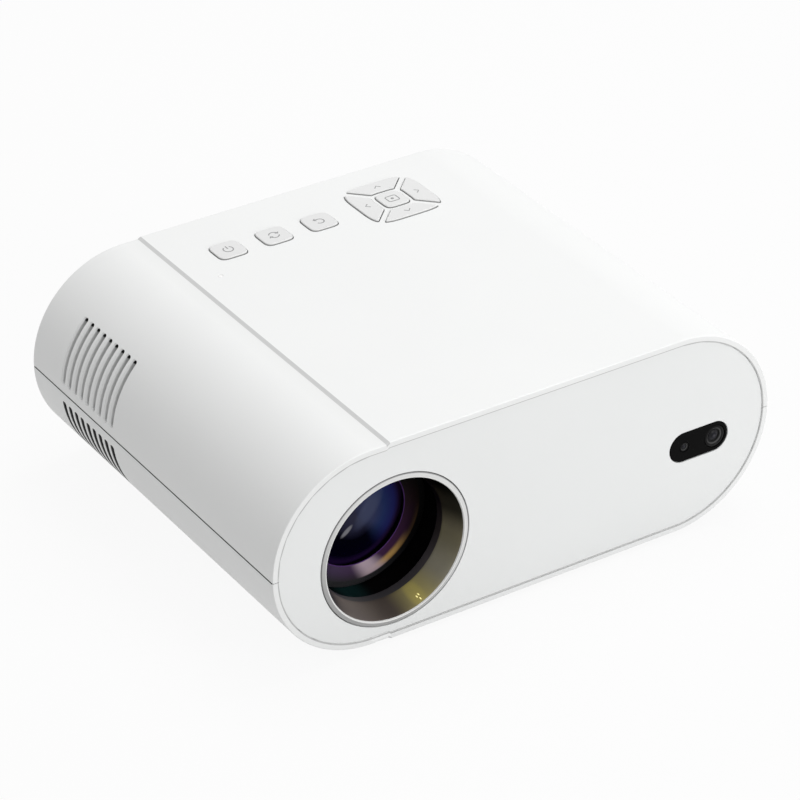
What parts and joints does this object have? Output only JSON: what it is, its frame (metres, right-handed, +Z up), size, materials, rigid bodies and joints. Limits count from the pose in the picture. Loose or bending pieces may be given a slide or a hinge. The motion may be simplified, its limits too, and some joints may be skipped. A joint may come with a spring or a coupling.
{
  "type": "video projector",
  "caption": "Compact capsule-shaped video projector with a recessed focusing lens, press keys on top and sockets at the back.",
  "frame": {"origin": "under the middle of the case, on the surface that its feet stand on", "axes": "+X to the right seen from the lens side, +Y from the lens side to the socket side, +Z up"},
  "size_m": [0.22, 0.18, 0.0872],
  "materials": {
    "shell": "satin white",
    "panel": "smooth white",
    "bright_ring": "bright silver",
    "hood": "polished olive black",
    "window": "gloss black",
    "camera_glass": "gloss, coated",
    "key": "matt pale grey with printed symbols",
    "light_pipe": "milky white",
    "circuit_board": "green solder mask",
    "power_board": "tan laminate",
    "black_plastic": "matt black",
    "barrel": "satin black",
    "coated_glass": "violet-blue coated glass",
    "clear_glass": "clear",
    "lcd": "polarised glass",
    "mirror": "front-silvered",
    "led": "yellow phosphor on white board",
    "aluminium": "extruded",
    "fan_plastic": "satin black",
    "motor_steel": "plated",
    "gear_plastic": "natural acetal",
    "socket_steel": "plated",
    "speaker_steel": "black paint",
    "speaker_cone": "pressed paper",
    "rubber": "matt",
    "brass": "turned",
    "screw_steel": "zinc plated"
  },
  "bodies": {
    "case": {"upper_shell": "shell", "lower_shell": "shell", "front_panel": "panel", "rear_panel": "panel", "lens_ring": "bright_ring", "lens_hood": "hood", "sensor_window": "window", "camera_module": "camera_glass", "range_sensor": "camera_glass", "sensor_board": "circuit_board", "status_light": "light_pipe", "key_board": "circuit_board", "lens_holder": "black_plastic", "focus_motor": "motor_steel", "engine_housing": "black_plastic", "engine_cover": "black_plastic", "field_fresnel": "clear_glass", "lcd_panel": "lcd", "collimating_fresnel": "clear_glass", "mirror": "mirror", "condenser_lens": "clear_glass", "led_module": "led", "heat_sink": "aluminium", "fan_frame": "black_plastic", "main_board": "circuit_board", "hdmi_socket": "socket_steel", "usb_socket_1": "socket_steel", "usb_socket_2": "socket_steel", "audio_jack": "black_plastic", "mains_inlet": "black_plastic", "power_board": "power_board", "speaker": "speaker_steel", "speaker_cone": "speaker_cone", "foot_1": "rubber", "foot_2": "rubber", "foot_3": "rubber", "foot_4": "rubber", "tripod_insert": "brass", "case_screw_1": "screw_steel", "case_screw_2": "screw_steel", "case_screw_3": "screw_steel", "case_screw_4": "screw_steel"},
    "power_button": {"power_key": "key"},
    "source_button": {"source_key": "key"},
    "back_button": {"back_key": "key"},
    "up_button": {"up_key": "key"},
    "right_button": {"right_key": "key"},
    "down_button": {"down_key": "key"},
    "left_button": {"left_key": "key"},
    "ok_button": {"ok_key": "key"},
    "focus_group": {"lens_barrel": "barrel", "front_glass": "coated_glass", "rear_glass": "clear_glass"},
    "focus_gear": {"focus_pinion": "gear_plastic"},
    "fan": {"fan_rotor": "fan_plastic"}
  },
  "joints": [
    {"name": "power_press", "type": "slide", "parent": "case", "child": "power_button", "axis": [0, 0, -1], "range_m": [0, 0.0004], "stiffness_N_per_m": 1500},
    {"name": "source_press", "type": "slide", "parent": "case", "child": "source_button", "axis": [0, 0, -1], "range_m": [0, 0.0004], "stiffness_N_per_m": 1500},
    {"name": "back_press", "type": "slide", "parent": "case", "child": "back_button", "axis": [0, 0, -1], "range_m": [0, 0.0004], "stiffness_N_per_m": 1500},
    {"name": "up_press", "type": "slide", "parent": "case", "child": "up_button", "axis": [0, 0, -1], "range_m": [0, 0.0004], "stiffness_N_per_m": 1500},
    {"name": "right_press", "type": "slide", "parent": "case", "child": "right_button", "axis": [0, 0, -1], "range_m": [0, 0.0004], "stiffness_N_per_m": 1500},
    {"name": "down_press", "type": "slide", "parent": "case", "child": "down_button", "axis": [0, 0, -1], "range_m": [0, 0.0004], "stiffness_N_per_m": 1500},
    {"name": "left_press", "type": "slide", "parent": "case", "child": "left_button", "axis": [0, 0, -1], "range_m": [0, 0.0004], "stiffness_N_per_m": 1500},
    {"name": "ok_press", "type": "slide", "parent": "case", "child": "ok_button", "axis": [0, 0, -1], "range_m": [0, 0.0004], "stiffness_N_per_m": 1500},
    {"name": "focus_slide", "type": "slide", "parent": "case", "child": "focus_group", "axis": [0, 1, 0], "range_m": [-0.003, 0.003]},
    {"name": "focus_turn", "type": "hinge", "parent": "case", "child": "focus_gear", "pos_m": [-0.02065, -0.0431, 0.0397], "axis": [0, 0, -1], "range_deg": [-43.5, 43.5]},
    {"name": "fan_spin", "type": "hinge", "parent": "case", "child": "fan", "pos_m": [0.066, 0.022, 0.0397], "axis": [1, 0, 0], "continuous": true}
  ],
  "couplings": [
    {"joint": "focus_turn", "follows": "focus_slide", "rad_per_m": 250}
  ]
}
